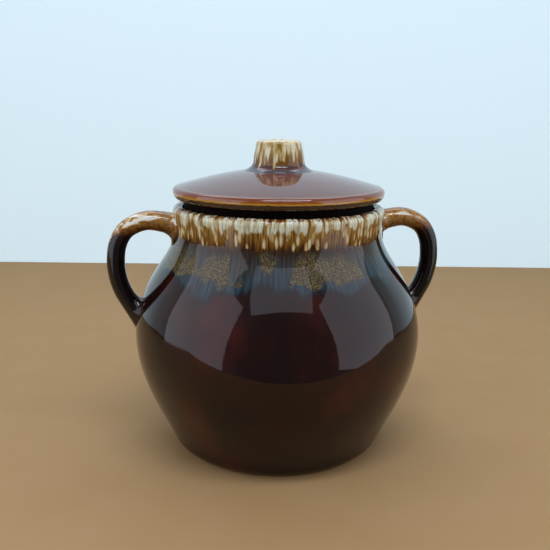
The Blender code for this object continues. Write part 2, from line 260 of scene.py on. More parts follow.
# %% The knob's half section
KNOB_CREST = 178.8
KNOB_SIDE = 13.2
KNOB_ROUND = 2.6
KNOB_WAIST = (14.6, 167.8)
DISH_DEPTH = 1.4
FLARE_RADIUS = 20
FLARE_SINK = 0.05

flat_radius, side_top = KNOB_SIDE - KNOB_ROUND, KNOB_CREST - KNOB_ROUND
dish = corner((0, KNOB_CREST), flat_radius, DISH_DEPTH, -90, 0, 12)
knob_top = corner((flat_radius, side_top), KNOB_ROUND, KNOB_ROUND, 90, 0, 10)[1:]
dome_at_knob = max((p for p in dome if p[0] > FLARE_RADIUS), key=lambda p: p[1])
flare_end = (dome_at_knob[0], dome_at_knob[1] - FLARE_SINK)
flare = bend((KNOB_SIDE, side_top), (13.9, 173), (14.4, 170.5), KNOB_WAIST, 12)
flare += bend(KNOB_WAIST, (14.8, 164.8), (16.0, 163.2), flare_end, 24)
knob_section = [(0, 160), (19.5, 160.6)] + flare[::-1] + knob_top[::-1] + dish[::-1]
print("knob half section:", len(knob_section), "points")

# %% [markdown]
# ## Turning a half section with Geometry Nodes
# A turned piece follows one rule, so a node tree makes it. A flat grid has one row for each point of the half
# section and one column for each step round the axis. Each grid point looks up its row's point in the section
# and swings it round the axis. Merging what lies together closes the seam and both poles.

# %% A tree and its grid
WELD = 0.003 * MM  # points closer than this are one


def new_tree(name, inputs):
    """A geometry tree with a geometry input, the named inputs and a geometry output."""
    tree = bpy.data.node_groups.new(name, "GeometryNodeTree")
    tree.interface.new_socket("Geometry", in_out="INPUT", socket_type="NodeSocketGeometry")
    for label, kind in inputs:
        tree.interface.new_socket(label, in_out="INPUT", socket_type=kind)
    tree.interface.new_socket("Geometry", in_out="OUTPUT", socket_type="NodeSocketGeometry")
    return tree, add(tree, "NodeGroupInput").outputs, add(tree, "NodeGroupOutput")


def make_grid(tree, line, columns):
    """A grid with a row for each point of a line; also the row of a grid point and its angle round the line."""
    rows = add(tree, "GeometryNodeAttributeDomainSize", {"Geometry": line}, component="MESH")
    around = add(tree, "ShaderNodeMath", {0: columns, 1: 1}, operation="ADD")
    grid = add(tree, "GeometryNodeMeshGrid", {"Vertices X": rows, "Vertices Y": around})
    index = add(tree, "GeometryNodeInputIndex")
    turns = add(tree, "ShaderNodeMath", {0: index, 1: around}, operation="DIVIDE")
    row = add(tree, "ShaderNodeMath", {0: turns}, operation="FLOOR")
    column = add(tree, "ShaderNodeMath", {0: index, 1: around}, operation="MODULO")
    share = add(tree, "ShaderNodeMath", {0: column, 1: columns}, operation="DIVIDE")
    angle = add(tree, "ShaderNodeMath", {0: share, 1: math.tau}, operation="MULTIPLY")
    return grid.outputs["Mesh"], row, angle


def finish_tree(tree, geometry, output):
    """Ends a tree with smooth shading, real geometry and the piece's material."""
    smooth = add(tree, "GeometryNodeSetShadeSmooth", {"Geometry": geometry})
    real = add(tree, "GeometryNodeRealizeInstances", {"Geometry": smooth})
    material = tree.nodes["Group Input"].outputs["Material"]
    dressed = add(tree, "GeometryNodeSetMaterial", {"Geometry": real, "Material": material})
    tree.links.new(dressed.outputs[0], output.inputs[0])


print("points closer than", WELD / MM, "mm are welded")

# %% [markdown]
# The drips of a thick glaze stand out from the wall by a fifth of a millimetre. That is enough to catch the light
# at their edges, so the tree also lifts the surface along its normal wherever a drip lies.

# %% Turning tree
def make_turning_tree():
    """The tree that turns a section round the axis and raises its drips."""
    inputs = [("Steps Round", "NodeSocketInt"), ("Drip Height", "NodeSocketFloat")]
    inputs += [("Material", "NodeSocketMaterial")]
    tree, given, output = new_tree("turn a section", inputs)
    grid, row, angle = make_grid(tree, given["Geometry"], given["Steps Round"])
    place = add(tree, "GeometryNodeInputPosition")
    found = {"Geometry": given["Geometry"], "Value": place, "Index": row}
    point = add(tree, "GeometryNodeSampleIndex", found, data_type="FLOAT_VECTOR", clamp=True)
    swung = add(tree, "ShaderNodeVectorRotate", {"Vector": point, "Angle": angle}, rotation_type="Z_AXIS")
    body = add(tree, "GeometryNodeSetPosition", {"Geometry": grid, "Position": swung})
    closed = add(tree, "GeometryNodeMergeByDistance", {"Geometry": body, "Distance": WELD})
    drips = {0: drip_amount(tree, place), 1: given["Drip Height"]}
    height = add(tree, "ShaderNodeMath", drips, operation="MULTIPLY")
    normal = add(tree, "GeometryNodeInputNormal")
    lift = add(tree, "ShaderNodeVectorMath", {0: normal, "Scale": height}, operation="SCALE")
    raised = add(tree, "GeometryNodeSetPosition", {"Geometry": closed, "Offset": lift})
    finish_tree(tree, raised, output)
    return tree


print("the turning tree is built once the drips are known")

# %% [markdown]
# ## Glazes
# The pot is stoneware, dipped in a glossy, nearly black brown glaze. A second, cream glaze was poured over the
# collar, the knob and the tops of the handles, and in the kiln it ran down in drips. Where it is thick it stays
# cream, where it is thin it breaks to ochre, and where it has melted into the brown it leaves a blue-grey film
# with gold flecks. All of these follow two coordinates of a turned piece: how high a point is, and where it is
# round the axis. The same nodes work in a geometry tree and in a material, so one function can draw the drips
# in colour and raise them in the clay.

# %% Coordinates on a wall
COLLAR_RADIUS = 60
KNOB_RADIUS = 14


def wall_place(tree, place, radius, width, length, seed=0.0):
    """Where a point is round the axis and up it, counted in patches of this width and length in millimetres."""
    split = add(tree, "ShaderNodeSeparateXYZ", {0: place})
    level = add(tree, "ShaderNodeCombineXYZ", {"X": split.outputs["X"], "Y": split.outputs["Y"]})
    around = add(tree, "ShaderNodeVectorMath", {0: level}, operation="NORMALIZE")
    ring = add(tree, "ShaderNodeVectorMath", {0: around, "Scale": radius / width}, operation="SCALE")
    up = {0: split.outputs["Z"], 1: 1 / (MM * length), 2: seed}
    climb = add(tree, "ShaderNodeCombineXYZ", {"Z": add(tree, "ShaderNodeMath", up, operation="MULTIPLY_ADD")})
    return add(tree, "ShaderNodeVectorMath", {0: ring, 1: climb}, operation="ADD")


def wall_noise(tree, place, radius, width, length, seed, detail):
    """Noise in patches of this width and length, in millimetres, on a wall of this radius."""
    spot = wall_place(tree, place, radius, width, length, seed)
    return add(tree, "ShaderNodeTexNoise", {"Vector": spot, "Scale": 1.0, "Detail": detail}).outputs[0]


def axis_distance(tree, place):
    """How far a point is from the axis of the wheel."""
    flat = add(tree, "ShaderNodeVectorMath", {0: place, 1: (1, 1, 0)}, operation="MULTIPLY")
    return add(tree, "ShaderNodeVectorMath", {0: flat}, operation="LENGTH").outputs["Value"]


def wandered(tree, value, noise, reach):
    """A value in metres, moved by noise to either side by up to half the reach in millimetres."""
    move = add(tree, "ShaderNodeMath", {0: noise, 1: reach * MM, 2: -reach * MM / 2}, operation="MULTIPLY_ADD")
    return add(tree, "ShaderNodeMath", {0: value, 1: move}, operation="ADD")


print("the collar is", round(COLLAR_RADIUS * math.tau), "mm round")

# %% [markdown]
# The runs of cream glaze are long rounded fingers. Cells of a Voronoi texture, stretched down the wall, give
# such fingers: a point is in one if it is closer to a cell's middle than some bar. The bar depends on the
# height, so the fingers join into a solid band near the lip and die out lower down.

# %% Fingers of cream glaze
FINGER_SWAY = 11  # how far the fingers' ends wander up and down, in millimetres
# Each step is (height from, height to, gain in the bar), with the heights in millimetres.
COLLAR_STEPS = [(126, 132.5, 0.36), (133.5, 137.5, 0.42), (140.6, 142, -0.15)]
SECOND_STEPS = [(124.5, 128.5, 0.46), (131, 136, -0.12)]
KNOB_STEPS = [(163, 168, 0.6), (169, 175, 0.3)]


def fingers(tree, place, radius, width, length, steps, seed=0.0):
    """How far a point is inside a finger of this width and length in millimetres."""
    height = add(tree, "ShaderNodeSeparateXYZ", {0: place}).outputs["Z"]
    sway = wall_noise(tree, place, radius, width * 1.6, length * 2, seed, 2.0)
    level = wandered(tree, height, sway, FINGER_SWAY)
    bar = 0.0
    for low, high, gain in steps:
        run = {"Value": level, "From Min": low * MM, "From Max": high * MM, "To Max": gain}
        step = add(tree, "ShaderNodeMapRange", run, interpolation_type="SMOOTHSTEP")
        bar = add(tree, "ShaderNodeMath", {0: bar, 1: step}, operation="ADD")
    cell = wall_place(tree, place, radius, width, length, seed)
    far = add(tree, "ShaderNodeTexVoronoi", {"Vector": cell, "Scale": 1.0}).outputs["Distance"]
    return add(tree, "ShaderNodeMath", {0: bar, 1: far}, operation="SUBTRACT")


def collar_fingers(tree, place, steps, seed=0.0):
    """The fingers on the collar, none inside the mouth."""
    radius = axis_distance(tree, place)
    inside = {"Value": radius, "From Min": MOUTH_RADIUS * MM, "From Max": (MOUTH_RADIUS + 1) * MM}
    bias = add(tree, "ShaderNodeMapRange", {**inside, "To Min": -1.0, "To Max": 0.0})
    depth = fingers(tree, place, COLLAR_RADIUS, 2.7, 11.0, steps, seed)
    return add(tree, "ShaderNodeMath", {0: depth, 1: bias}, operation="ADD")


def drip_amount(tree, place):
    """How thick the poured glaze is, from 0 to 1."""
    depth = {"Value": collar_fingers(tree, place, COLLAR_STEPS), "From Max": 0.25}
    return add(tree, "ShaderNodeMapRange", depth, interpolation_type="SMOOTHSTEP")


print("the collar's fingers start in", len(COLLAR_STEPS), "steps from", COLLAR_STEPS[0][0], "mm up")

# %% [markdown]
# Every finish here starts the same way: a Principled shader with its roughness and index of refraction, and the
# place of a point on its piece. Two more steps come back in several glazes. One darkens a colour in streaks or
# mottles, as glaze does where it lies unevenly. The other gives it the faint, wide ripple that a glaze settles
# in, which bends the reflections a little and keeps the surface from looking like glass.

# %% Starting a material
def new_material(name, roughness, ior):
    """A new material: itself, its tree and shader, and the place and height of a point on the piece."""
    material = bpy.data.materials.new(name)
    material.use_nodes = True
    tree = material.node_tree
    shader = tree.nodes["Principled BSDF"]
    shader.inputs["Roughness"].default_value = roughness
    shader.inputs["IOR"].default_value = ior
    place = add(tree, "ShaderNodeTexCoord").outputs["Object"]
    height = add(tree, "ShaderNodeSeparateXYZ", {0: place}).outputs["Z"]
    return material, tree, shader, place, height


def toned(tree, colour, pattern, stops, share):
    """The colour darkened by this share where the pattern picks the dark stops."""
    tone = add(tree, "ShaderNodeValToRGB", {0: pattern}, stops)
    both = {0: share, 6: colour, 7: tone}
    return add(tree, "ShaderNodeMix", both, data_type="RGBA", blend_type="MULTIPLY").outputs[2]


def rippled(tree, shader, place, width, detail, strength, height):
    """Gives the surface swells of this width and height in millimetres, and returns their bump."""
    swell = add(tree, "ShaderNodeTexNoise", {"Vector": place, "Scale": 1 / (width * MM), "Detail": detail})
    ripple = add(tree, "ShaderNodeBump", {"Height": swell, "Strength": strength, "Distance": height * MM})
    tree.links.new(ripple.outputs[0], shader.inputs["Normal"])
    return ripple


print("materials can be started")

# %% [markdown]
# ## The pot's glaze
# This is the richest one, so its colours are built from the bottom layer up, as the potter laid them: the brown
# glaze, the blue-grey film, the gold flecks, the ochre band and last the cream fingers. The brown looks nearly
# black, with red clouds where light gets into it. The film makes the shoulder look milky and cold above it.

# %% Brown glaze and film
FILM_LOW = 103 * MM
FILM_HIGH = 126 * MM


def brown_and_film(tree, place, height):
    """The dark brown glaze with the blue-grey film on the shoulder, which ends in soft lobes."""
    cloud = wall_noise(tree, place, COLLAR_RADIUS, 24, 40, 5.0, 3.0)
    stops = [(0.35, "#140504"), (0.52, "#240907"), (0.68, "#40140f")]
    brown = add(tree, "ShaderNodeValToRGB", {0: cloud}, stops)
    lobes = wall_noise(tree, place, COLLAR_RADIUS, 17, 24, 11.0, 1.5)
    veil = wall_noise(tree, place, COLLAR_RADIUS, 2.2, 26, 23.0, 3.0)
    level = wandered(tree, wandered(tree, height, lobes, 26), veil, 6)
    share = add(tree, "ShaderNodeMapRange", {"Value": level, "From Min": FILM_LOW, "From Max": FILM_HIGH})
    stops = [(0.02, "#120c0b"), (0.12, "#18262e"), (0.24, "#2b404d")]
    stops += [(0.5, "#36444a"), (0.75, "#403f3b"), (1, "#3b2e23")]
    film = add(tree, "ShaderNodeValToRGB", {0: share}, stops)
    runs = wall_noise(tree, place, COLLAR_RADIUS, 0.9, 18, 29.0, 2.0)
    film = toned(tree, film, runs, [(0.38, "#8f8478"), (0.5, "#d8d4ce"), (0.6, "#ffffff")], 0.8)
    cover = add(tree, "ShaderNodeMapRange", {"Value": share, "From Max": 0.2}, interpolation_type="SMOOTHSTEP")
    return add(tree, "ShaderNodeMix", {0: cover, 6: brown, 7: film}, data_type="RGBA").outputs[2]


print("the film lies from", round(FILM_LOW / MM), "to", round(FILM_HIGH / MM), "mm up")

# %% [markdown]
# Between the lobes of the film, crystals have grown in the cooling glaze. They lie in patches on a dull ground
# and look like gold dust. Each fleck is about half a millimetre wide, close to the smallest thing that shows.

# %% Gold flecks
FLECKS_LOW = (109.5 * MM, 111 * MM)  # where they start, and where they are dense
FLECKS_HIGH = (119 * MM, 125 * MM)  # where they thin out, and where they end


def flecked(tree, colour, place, height):
    """Gold flecks half a millimetre wide, in patches between the lobes of the film."""
    ends = wall_noise(tree, place, COLLAR_RADIUS, 12, 16, 31.0, 2.0)
    level = wandered(tree, height, ends, 18)
    low = {"Value": level, "From Min": FLECKS_LOW[0], "From Max": FLECKS_LOW[1]}
    high = {"Value": level, "From Min": FLECKS_HIGH[0], "From Max": FLECKS_HIGH[1], "To Min": 1.0, "To Max": 0.0}
    both = {0: add(tree, "ShaderNodeMapRange", low), 1: add(tree, "ShaderNodeMapRange", high)}
    area = add(tree, "ShaderNodeMath", both, operation="MULTIPLY")
    gaps = wall_noise(tree, place, COLLAR_RADIUS, 15, 70, 57.0, 1.0)
    open_wall = add(tree, "ShaderNodeMapRange", {"Value": gaps, "From Min": 0.39, "From Max": 0.42})
    patch = add(tree, "ShaderNodeMath", {0: area, 1: open_wall}, operation="MULTIPLY")
    ground = add(tree, "ShaderNodeMath", {0: patch, 1: 0.9}, operation="MULTIPLY")
    dull = add(tree, "ShaderNodeMix", {0: ground, 6: colour, 7: linear("#241d15")}, data_type="RGBA").outputs[2]
    grain = wall_noise(tree, place, COLLAR_RADIUS, 0.42, 0.6, 71.0, 2.0)
    spark = add(tree, "ShaderNodeMapRange", {"Value": grain, "From Min": 0.42, "From Max": 0.78})
    share = add(tree, "ShaderNodeMath", {0: patch, 1: spark}, operation="MULTIPLY")
    return add(tree, "ShaderNodeMix", {0: share, 6: dull, 7: linear("#9c8a58")}, data_type="RGBA").outputs[2]


print("the flecks lie from", round(FLECKS_LOW[0] / MM, 1), "to", round(FLECKS_HIGH[1] / MM, 1), "mm up")

# %% [markdown]
# Where the poured glaze is thin it turns to ochre, like burnt sugar. It is drawn out in fine hairs down the
# wall, darkest at its lower edge, so the collar looks streaked even between the fingers.

# %% Ochre band
BAND_LOW = 121 * MM
BAND_HIGH = 143 * MM


def banded(tree, colour, place, height):
    """The thin ochre glaze between the fingers, which burns to brown at its lower edge and on the lip's crest."""
    runs = wall_noise(tree, place, COLLAR_RADIUS, 2.2, 16, 83.0, 3.0)
    level = wandered(tree, height, runs, 9)
    share = add(tree, "ShaderNodeMapRange", {"Value": level, "From Min": BAND_LOW, "From Max": BAND_HIGH})
    stops = [(0.08, "#2e1a10"), (0.24, "#56330f"), (0.42, "#90641f")]
    stops += [(0.62, "#a88136"), (0.84, "#b9975a"), (0.94, "#7a4416")]
    band = add(tree, "ShaderNodeValToRGB", {0: share}, stops)
    hairs = wall_noise(tree, place, COLLAR_RADIUS, 0.8, 11, 97.0, 2.0)
    band = toned(tree, band, hairs, [(0.36, "#9a8a74"), (0.48, "#ddd4c6"), (0.6, "#ffffff")], 0.8)
    cover = add(tree, "ShaderNodeMapRange", {"Value": share, "From Min": 0.1, "From Max": 0.3})
    return add(tree, "ShaderNodeMix", {0: cover, 6: colour, 7: band}, data_type="RGBA").outputs[2], hairs


print("the band lies from", round(BAND_LOW / MM), "mm up to the lip")

# %% [markdown]
# The cream lies on top in two rows: long thick fingers from the lip, and short thinner ones between them. Thick
# glaze is pale and opaque, and thin glaze lets the ochre through, so the colour follows how deep inside a
# finger a point is. Some cream is worn away in patches, as the heat took it.

# %% Cream fingers in colour
CREAM_LOW = (122 * MM, 126 * MM)  # no cream below the first height, all of it above the second
STREAKS_LOW = (125 * MM, 128 * MM)


def creamed(tree, colour, place, height, hairs):
    """Both rows of cream fingers over the colour, streaked like the band below them."""
    lower = collar_fingers(tree, place, SECOND_STEPS, 40.0)
    thin = add(tree, "ShaderNodeValToRGB", {0: lower}, [(0.0, "#a0752c"), (0.1, "#c09d58"), (0.26, "#e0dab4")])
    inside = add(tree, "ShaderNodeMapRange", {"Value": lower, "From Max": 0.1}, interpolation_type="SMOOTHSTEP")
    colour = add(tree, "ShaderNodeMix", {0: inside, 6: colour, 7: thin}, data_type="RGBA").outputs[2]
    worn = wall_noise(tree, place, COLLAR_RADIUS, 7, 9, 19.0, 4.0)
    whole = {0: collar_fingers(tree, place, COLLAR_STEPS), 1: 0.4}
    whole = add(tree, "ShaderNodeMath", whole, operation="SUBTRACT")
    depth = add(tree, "ShaderNodeMath", {0: worn, 1: 0.9, 2: whole}, operation="MULTIPLY_ADD")
    reach = add(tree, "ShaderNodeMapRange", {"Value": height, "From Min": CREAM_LOW[0], "From Max": CREAM_LOW[1]})
    covered = add(tree, "ShaderNodeMapRange", {"Value": depth, "From Max": 0.3}, interpolation_type="SMOOTHSTEP")
    inside = add(tree, "ShaderNodeMath", {0: covered, 1: reach}, operation="MULTIPLY")
    thick = add(tree, "ShaderNodeMapRange", {"Value": depth, "From Min": 0.0, "From Max": 0.5})
    stops = [(0.0, "#a07830"), (0.2, "#bfa55e"), (0.5, "#dedcb8"), (1.0, "#e6edd6")]
    cream = add(tree, "ShaderNodeValToRGB", {0: thick}, stops)
    colour = add(tree, "ShaderNodeMix", {0: inside, 6: colour, 7: cream}, data_type="RGBA").outputs[2]
    streaks = {"Value": height, "From Min": STREAKS_LOW[0], "From Max": STREAKS_LOW[1], "To Max": 0.75}
    on_collar = add(tree, "ShaderNodeMapRange", streaks)
    return toned(tree, colour, hairs, [(0.36, "#b08d5c"), (0.46, "#e8dcc4"), (0.54, "#ffffff")], on_collar)


print("cream starts", round(CREAM_LOW[0] / MM), "mm up")

# %% [markdown]
# A few places differ. The crest of the lip was rubbed by the lid and shows rust in specks of about a millimetre.
# Inside the mouth the brown glaze lies alone, painted nearly black as the shade in there. The foot ring is bare,
# dry clay, as it stood on the kiln shelf, so it is pale and matt under a pot that is glassy everywhere else.

# %% Lip, mouth and foot
CREST_RUST = (140.4 * MM, 141.7 * MM)
MOUTH_EDGE = (56 * MM, 55.5 * MM)
ABOVE_FOOT = 10 * MM
BARE_FOOT = (1.2 * MM, 0.6 * MM)
GLAZE_ROUGHNESS = 0.04


def rusted(tree, colour, place, height):
    """Specks of rust on the crest of the lip."""
    speck = add(tree, "ShaderNodeTexNoise", {"Vector": place, "Scale": 1 / (1.4 * MM), "Detail": 2.0})
    rise = {"Value": height, "From Min": CREST_RUST[0], "From Max": CREST_RUST[1]}
    rusty = add(tree, "ShaderNodeMapRange", {"Value": speck, "From Min": 0.48, "From Max": 0.58})
    both = {0: add(tree, "ShaderNodeMapRange", rise), 1: rusty}
    share = add(tree, "ShaderNodeMath", both, operation="MULTIPLY")
    return add(tree, "ShaderNodeMix", {0: share, 6: colour, 7: linear("#6a3a14")}, data_type="RGBA").outputs[2]


def brown_and_shade_inside(tree, colour, place, height):
    """The brown glaze alone inside the mouth, painted nearly black as the shade in there."""
    radius = axis_distance(tree, place)
    mouth = {"Value": radius, "From Min": MOUTH_EDGE[0], "From Max": MOUTH_EDGE[1]}
    above_foot = add(tree, "ShaderNodeMath", {0: height, 1: ABOVE_FOOT}, operation="GREATER_THAN")
    both = {0: add(tree, "ShaderNodeMapRange", mouth), 1: above_foot}
    mouth_shade = add(tree, "ShaderNodeMath", both, operation="MULTIPLY")
    # Inside the mouth the colour is painted nearly black, as painted shade.
    return add(tree, "ShaderNodeMix", {0: mouth_shade, 6: colour, 7: linear("#0c0605")}, data_type="RGBA").outputs[2]


def bared(tree, shader, colour, height):
    """The bare, matt foot ring; the colour and the roughness go to the shader."""
    bare = add(tree, "ShaderNodeMapRange", {"Value": height, "From Min": BARE_FOOT[0], "From Max": BARE_FOOT[1]})
    colour = add(tree, "ShaderNodeMix", {0: bare, 6: colour, 7: linear("#b59b7c")}, data_type="RGBA").outputs[2]
    tree.links.new(colour, shader.inputs["Base Color"])
    rough = add(tree, "ShaderNodeMapRange", {"Value": bare, "To Min": GLAZE_ROUGHNESS, "To Max": 0.8})
    tree.links.new(rough.outputs[0], shader.inputs["Roughness"])


print("the lip rusts from", round(CREST_RUST[0] / MM, 1), "mm up")

# %% [markdown]
# Now the layers go on, one over the other. The finished glaze is as smooth as glass, so it mirrors the room
# sharply. A wide ripple bends those reflections, and the hairs of the band leave the finest streaks in them.

# %% Pot glaze
def make_pot_glaze():
    """Cream drip glaze over nearly black brown glaze: glassy, with the drips a little proud."""
    material, tree, shader, place, height = new_material(
        "cream drip glaze over black brown", GLAZE_ROUGHNESS, 1.46
    )
    colour = brown_and_film(tree, place, height)
    colour = flecked(tree, colour, place, height)
    colour, hairs = banded(tree, colour, place, height)
    colour = creamed(tree, colour, place, height, hairs)
    colour = rusted(tree, colour, place, height)
    colour = brown_and_shade_inside(tree, colour, place, height)
    bared(tree, shader, colour, height)
    ripple = rippled(tree, shader, place, 22, 1.0, 0.5, 0.35)
    streaks = {"Height": hairs, "Strength": 0.12, "Distance": 0.05 * MM, "Normal": ripple}
    streak = add(tree, "ShaderNodeBump", streaks)
    tree.links.new(streak.outputs[0], shader.inputs["Normal"])
    return material


pot_glaze = make_pot_glaze()
print(pot_glaze.name, len(pot_glaze.node_tree.nodes), "nodes")

# %% [markdown]
# ## Lid, knob and handles
# The lid has only a red-brown glaze. It is thinner on the sharp turn of the edge, and there it breaks to amber
# and gold, which draws a bright line round the lid. Under the edge, over the gap, the colour is painted nearly
# black as shade.

# %% Lid glaze
LID_EDGE_LOW = 146.3 * MM
LID_EDGE_HIGH = 153.5 * MM
LID_TOP = (151.2 * MM, 152.6 * MM)  # where the edge's colours give way to the top's
UNDER_LID_SHADE = (58 * MM, 56.5 * MM)
LID_UNDERSIDE = 147.2 * MM


def make_lid_glaze():
    """Red-brown glaze that breaks to amber on the lid's edge, painted nearly black underneath as shade."""
    material, tree, shader, place, height = new_material("red brown glaze breaking to amber", 0.05, 1.7)
    radius = axis_distance(tree, place)
    cloud = add(tree, "ShaderNodeTexNoise", {"Vector": place, "Scale": 1 / (12 * MM), "Detail": 4.0})
    share = {"Value": wandered(tree, radius, cloud.outputs[0], 9), "From Min": 20 * MM, "From Max": 61 * MM}
    stops = [(0.0, "#6c4742"), (0.5, "#683f38"), (0.84, "#5e2d20"), (0.94, "#6c3214"), (1.0, "#7c3f12")]
    top = add(tree, "ShaderNodeValToRGB", {0: add(tree, "ShaderNodeMapRange", share)}, stops)
    fine = add(tree, "ShaderNodeTexNoise", {"Vector": place, "Scale": 1 / (3 * MM), "Detail": 2.0})
    level = wandered(tree, height, fine.outputs[0], 0.9)
    edge_share = {"Value": level, "From Min": LID_EDGE_LOW, "From Max": LID_EDGE_HIGH}
    stops = [(0.0, "#4d2c0e"), (0.3, "#331b0a"), (0.38, "#4a2c10")]
    stops += [(0.46, "#d9a02a"), (0.56, "#a05c14"), (0.72, "#7c3a12")]
    edge = add(tree, "ShaderNodeValToRGB", {0: add(tree, "ShaderNodeMapRange", edge_share)}, stops)
    upper = add(tree, "ShaderNodeMapRange", {"Value": level, "From Min": LID_TOP[0], "From Max": LID_TOP[1]})
    colour = add(tree, "ShaderNodeMix", {0: upper, 6: edge, 7: top}, data_type="RGBA").outputs[2]
    # Under the edge and on the landing, over the gap, the colour is painted nearly black as shade.
    shaded_rim = {"Value": radius, "From Min": UNDER_LID_SHADE[0], "From Max": UNDER_LID_SHADE[1]}
    shaded_rim = add(tree, "ShaderNodeMapRange", shaded_rim)
    below = add(tree, "ShaderNodeMath", {0: height, 1: LID_UNDERSIDE}, operation="LESS_THAN")
    under = add(tree, "ShaderNodeMath", {0: shaded_rim, 1: below}, operation="MULTIPLY")
    colour = add(tree, "ShaderNodeMix", {0: under, 6: colour, 7: linear("#140a08")}, data_type="RGBA").outputs[2]
    tree.links.new(colour, shader.inputs["Base Color"])
    rippled(tree, shader, place, 16, 2.0, 0.3, 0.15)
    return material


lid_glaze = make_lid_glaze()
print(lid_glaze.name, len(lid_glaze.node_tree.nodes), "nodes")

# %% [markdown]
# The seat ring is wiped, unglazed clay with no shine at all. Its colour is painted nearly black as the shade in
# the gap under the lid, so no light comes out of the gap and the gap reads as a dark line.

# %% Unglazed clay painted black as shade
def make_shade_black_clay():
    """Wiped, unglazed clay painted nearly black as shade: matt, with a fine grain of grog."""
    material, tree, shader, place, _ = new_material("unglazed clay painted black as shade", 0.9, 1.45)
    shader.inputs["Specular IOR Level"].default_value = 0.1
    grog = add(tree, "ShaderNodeTexNoise", {"Vector": place, "Scale": 1 / (0.8 * MM), "Detail": 3.0})
    colour = add(tree, "ShaderNodeValToRGB", {0: grog}, [(0.4, "#0a0605"), (0.6, "#1a110d")])
    tree.links.new(colour.outputs[0], shader.inputs["Base Color"])
    grain = add(tree, "ShaderNodeBump", {"Height": grog, "Strength": 0.4, "Distance": 0.1 * MM})
    tree.links.new(grain.outputs[0], shader.inputs["Normal"])
    return material


shade_black_clay = make_shade_black_clay()
print(shade_black_clay.name, len(shade_black_clay.node_tree.nodes), "nodes")

# %% [markdown]
# The knob was dipped in the cream glaze, which ran off its side in fine fingers and stayed in its dished top.
# There it couldn't run, so it is evenly thick, with a few ochre clouds. On the flare the red-brown comes back,
# and a blue-grey line marks the join with the dome.

# %% Knob glaze
KNOB_COLOURS = (161 * MM, 179 * MM)
KNOB_DISH = (13.1 * MM, 11.6 * MM)
KNOB_JOIN = (163.6 * MM, 162.8 * MM)


def make_knob_glaze():
    """Cream fingers over ochre, and red-brown on the flared foot with a blue-grey line at the join."""
    material, tree, shader, place, height = new_material("cream drip glaze over ochre", 0.06, 1.5)
    streaks = wall_noise(tree, place, KNOB_RADIUS, 2.6, 10, 3.0, 3.0)
    level = wandered(tree, height, streaks, 5)
    climb = {"Value": level, "From Min": KNOB_COLOURS[0], "From Max": KNOB_COLOURS[1]}
    share = add(tree, "ShaderNodeMapRange", climb)
    stops = [(0.0, "#74483a"), (0.14, "#6b3f30"), (0.2, "#3b3236")]
    stops += [(0.27, "#744b16"), (0.5, "#8a6524"), (0.9, "#b09250")]
    ground = add(tree, "ShaderNodeValToRGB", {0: share}, stops)
    depth = fingers(tree, place, KNOB_RADIUS, 2.0, 26.0, KNOB_STEPS, 7.0)
    inside = add(tree, "ShaderNodeMapRange", {"Value": depth, "From Max": 0.3}, interpolation_type="SMOOTHSTEP")
    stops = [(0.36, "#96702c"), (0.46, "#c2aa68"), (0.6, "#e9e2bd")]
    cream = add(tree, "ShaderNodeValToRGB", {0: streaks}, stops)
    colour = add(tree, "ShaderNodeMix", {0: inside, 6: ground, 7: cream}, data_type="RGBA").outputs[2]
    clouds = add(tree, "ShaderNodeTexNoise", {"Vector": place, "Scale": 1 / (3.5 * MM), "Detail": 4.0})
    stops = [(0.34, "#b08a48"), (0.46, "#dccd9d"), (0.6, "#e8e2c6")]
    pooled = add(tree, "ShaderNodeValToRGB", {0: clouds}, stops)
    dish_share = {"Value": axis_distance(tree, place), "From Min": KNOB_DISH[0], "From Max": KNOB_DISH[1]}
    topped = add(tree, "ShaderNodeMapRange", dish_share, interpolation_type="SMOOTHSTEP")
    colour = add(tree, "ShaderNodeMix", {0: topped, 6: colour, 7: pooled}, data_type="RGBA").outputs[2]
    join = {"Value": height, "From Min": KNOB_JOIN[0], "From Max": KNOB_JOIN[1]}
    joined = add(tree, "ShaderNodeMapRange", join, interpolation_type="SMOOTHSTEP")
    colour = add(tree, "ShaderNodeMix", {0: joined, 6: colour, 7: linear("#4b4a52")}, data_type="RGBA").outputs[2]
    tree.links.new(colour, shader.inputs["Base Color"])
    ridges = add(tree, "ShaderNodeBump", {"Height": depth, "Strength": 0.35, "Distance": 0.2 * MM})
    tree.links.new(ridges.outputs[0], shader.inputs["Normal"])
    return material


knob_glaze = make_knob_glaze()
print(knob_glaze.name, len(knob_glaze.node_tree.nodes), "nodes")

# %% [markdown]
# Some cream was poured on the tops of the handles too. It lies there in a long ragged pool with sharp ochre
# margins, over the same nearly black brown as the pot, and more of it landed on the left handle than on the
# right one.

# %% Handle glaze
HANDLE_COLOURS = (119 * MM, 140 * MM)
POUR_LOW = (125 * MM, 135 * MM)
POOL_STRETCH = (0.35, 1, 1)  # the pool is drawn out along the handle's top


